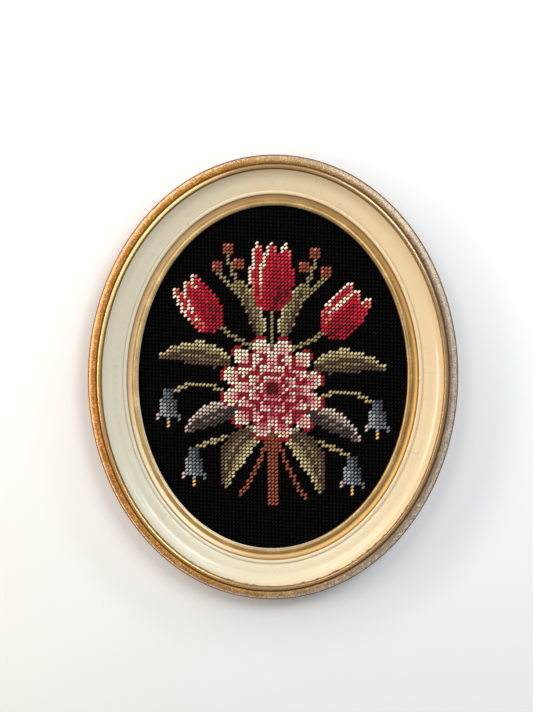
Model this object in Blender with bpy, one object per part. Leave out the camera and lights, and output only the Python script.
"""An oval needlepoint picture: a worked canvas sheet held in a gilt and cream oval moulding.

The piece lies on its flat back. +Z is the way the needlework faces, +Y is the top of the picture
and +X its right-hand side. The origin is the middle of the oval on the plane of the back.

The moulding is three nested rings of constant width. Each is one cross-section swept round the
sight edge, the oval through which the needlework shows. From the inside out they are a thin gilt
slip, a cream scoop whose rebate takes the slip and the canvas from behind, and a gilt rim.
"""

import math

import bpy
from mathutils import Vector

MM = 0.001

# Driving dimensions, in metres
SIGHT_WIDTH = 189.0 * MM
SIGHT_HEIGHT = 241.0 * MM
CANVAS_THICKNESS = 2.0 * MM
GAP = 0.3 * MM

# Places across the moulding, in millimetres outward from the sight edge
SIGHT_BEAD_END = 3.8
SLIP_SHOWS_TO = 7.3
SLIP_EDGE = 9.8
CREAM_BEAD_START = 7.6
REBATE_WALL = 10.1
CREAM_BEAD_END = 10.4
FLOOR_START = 11.1
FLOOR_END = 16.5
SCOOP_EDGE = 24.2
RIM_START = 24.5
NARROW_BEAD_END = 27.1
OUTER_BEAD_START = 27.8
MOULDING_WIDTH = 34.3
BACK_WIDTH = 33.2

# Heights above the flat back, in millimetres
SLIP_UNDERSIDE = 6.6
LIP_TOP = 7.9
SLIP_LEDGE = 9.0
SLIP_TOP = 10.4
REBATE_CEILING = 9.3
CREAM_BEAD_FOOT = 10.0
GROOVE_BOTTOM = 9.9
FLOOR_HEIGHT = 10.5
WALL_FOOT = 11.1
SCOOP_TOP = 18.4
NARROW_BEAD_FOOT = 18.9
RIM_GROOVE = 17.6
OUTER_BEAD_EDGE = 14.6

# Cross-sections, each a closed outline that starts at its lower inner corner and goes up, outward
# and down. A row is (across, height, bulge), where bulge is how far the edge that leads to this
# corner bows out of the material. A hollow edge has a negative bulge.
SLIP_SECTION = (
    (0.0, SLIP_UNDERSIDE, 0.0),
    (0.0, LIP_TOP, 0.0),
    (SIGHT_BEAD_END, LIP_TOP + 0.1, 1.2),
    (SLIP_SHOWS_TO, SLIP_TOP, -0.6),
    (SLIP_SHOWS_TO, SLIP_LEDGE, 0.0),
    (SLIP_EDGE, SLIP_LEDGE, 0.0),
    (SLIP_EDGE, SLIP_UNDERSIDE, 0.0),
)
SCOOP_SECTION = (
    (REBATE_WALL, 0.0, 0.0),
    (REBATE_WALL, REBATE_CEILING, 0.0),
    (CREAM_BEAD_START, REBATE_CEILING, 0.0),
    (CREAM_BEAD_START, CREAM_BEAD_FOOT, 0.0),
    (CREAM_BEAD_END, GROOVE_BOTTOM, 1.3),
    (FLOOR_START, FLOOR_HEIGHT, 0.0),
    (FLOOR_END, WALL_FOOT, 0.0),
    (SCOOP_EDGE, SCOOP_TOP, -1.4),
    (SCOOP_EDGE, 0.0, 0.0),
)
RIM_SECTION = (
    (RIM_START, 0.0, 0.0),
    (RIM_START, NARROW_BEAD_FOOT, 0.0),
    (NARROW_BEAD_END, RIM_GROOVE + 0.6, 1.4),
    (OUTER_BEAD_START, RIM_GROOVE, 0.0),
    (MOULDING_WIDTH, OUTER_BEAD_EDGE, 2.1),
    (BACK_WIDTH, 0.0, 0.0),
)

# How finely the rounded edges and the oval are cut
ARC_STEPS = 4
OVAL_POINTS = 96


def clear_scene():
    """Remove every object that the scene starts with."""
    for thing in list(bpy.data.objects):
        bpy.data.objects.remove(thing, do_unlink=True)


def new_collection(name):
    """Return a new collection that hangs from the scene."""
    collection = bpy.data.collections.new(name)
    bpy.context.scene.collection.children.link(collection)
    return collection


def new_material(name, colour, roughness, metallic=0.0):
    """Return a plain Principled material."""
    material = bpy.data.materials.new(name)
    material.use_nodes = True
    shader = material.node_tree.nodes["Principled BSDF"]
    shader.inputs["Base Color"].default_value = (*colour, 1.0)
    shader.inputs["Roughness"].default_value = roughness
    shader.inputs["Metallic"].default_value = metallic
    return material


def oval_points(outward):
    """Return the points of the sight edge, each moved outward by a fixed distance in metres."""
    half_width = SIGHT_WIDTH / 2
    half_height = SIGHT_HEIGHT / 2
    points = []
    for step in range(OVAL_POINTS):
        turn = math.tau * step / OVAL_POINTS
        edge = Vector((half_width * math.cos(turn), half_height * math.sin(turn)))
        normal = Vector((half_height * math.cos(turn), half_width * math.sin(turn))).normalized()
        points.append(edge + normal * outward)
    return points


def bowed_edge(start, end, bulge):
    """Return points along a circular arc that leaves start and ends at end, without start."""
    if bulge == 0.0:
        return [end]
    chord = end - start
    half = chord.length / 2
    radius = (half * half + bulge * bulge) / (2 * abs(bulge))
    left = Vector((-chord.y, chord.x)).normalized()
    side = math.copysign(1.0, bulge)
    centre = (start + end) / 2 + left * (bulge - side * radius)
    sweep = 2 * math.asin(half / radius)
    points = []
    for step in range(1, ARC_STEPS + 1):
        turn = sweep / 2 - sweep * step / ARC_STEPS
        along = chord.normalized() * (-math.sin(turn) * radius)
        away = left * (side * math.cos(turn) * radius)
        points.append(centre + along + away)
    return points


def section_points(section):
    """Return a closed cross-section's points in metres, with its bowed edges cut into steps."""
    corners = [Vector((across, height)) * MM for across, height, _ in section]
    points = [corners[0]]
    for index in range(1, len(section)):
        bulge = section[index][2] * MM
        points += bowed_edge(corners[index - 1], corners[index], bulge)
    return points


def closed_curve(name, points, dimensions):
    """Return curve data with one closed line of straight pieces through flat points."""
    curve = bpy.data.curves.new(name, "CURVE")
    curve.dimensions = dimensions
    line = curve.splines.new("POLY")
    line.points.add(len(points) - 1)
    for control, point in zip(line.points, points):
        control.co = (point.x, point.y, 0.0, 1.0)
    line.use_cyclic_u = True
    return curve


def section_guide(name, section, guides):
    """Return a hidden curve object that holds one ring's cross-section."""
    guide = bpy.data.objects.new(name, closed_curve(name, section_points(section), "2D"))
    guide.data.fill_mode = "NONE"
    guide.hide_render = True
    guide.display_type = "WIRE"
    guides.objects.link(guide)
    return guide


def moulding_ring(name, section, material, pieces, guides):
    """Sweep a cross-section round the sight edge, with its across direction pointing outward."""
    path = closed_curve(name, oval_points(0.0), "3D")
    path.twist_mode = "Z_UP"
    path.use_fill_caps = False
    path.bevel_mode = "OBJECT"
    path.bevel_object = section_guide(name + "_section", section, guides)
    path.materials.append(material)
    ring = bpy.data.objects.new(name, path)
    pieces.objects.link(ring)
    return ring


def canvas_sheet(material, pieces):
    """Make the flat oval sheet that lies in the rebate, just behind the slip."""
    curve = closed_curve("needlepoint_canvas", oval_points(SLIP_EDGE * MM), "2D")
    curve.fill_mode = "BOTH"
    curve.extrude = CANVAS_THICKNESS / 2
    curve.materials.append(material)
    sheet = bpy.data.objects.new("needlepoint_canvas", curve)
    sheet.location.z = SLIP_UNDERSIDE * MM - GAP - CANVAS_THICKNESS / 2
    pieces.objects.link(sheet)
    return sheet


def main():
    """Build the four pieces."""
    clear_scene()
    pieces = new_collection("oval_needlepoint_panel")
    guides = new_collection("cross_sections")
    wool = new_material("black_wool_canvas", (0.012, 0.011, 0.010), 0.9)
    slip_gilt = new_material("slip_gilt", (0.52, 0.31, 0.11), 0.4, 0.8)
    cream = new_material("cream_paint", (0.72, 0.64, 0.49), 0.55)
    rim_gilt = new_material("rim_gilt", (0.45, 0.25, 0.09), 0.4, 0.8)
    canvas_sheet(wool, pieces)
    moulding_ring("gilt_slip", SLIP_SECTION, slip_gilt, pieces, guides)
    moulding_ring("cream_scoop", SCOOP_SECTION, cream, pieces, guides)
    moulding_ring("gilt_rim", RIM_SECTION, rim_gilt, pieces, guides)


main()
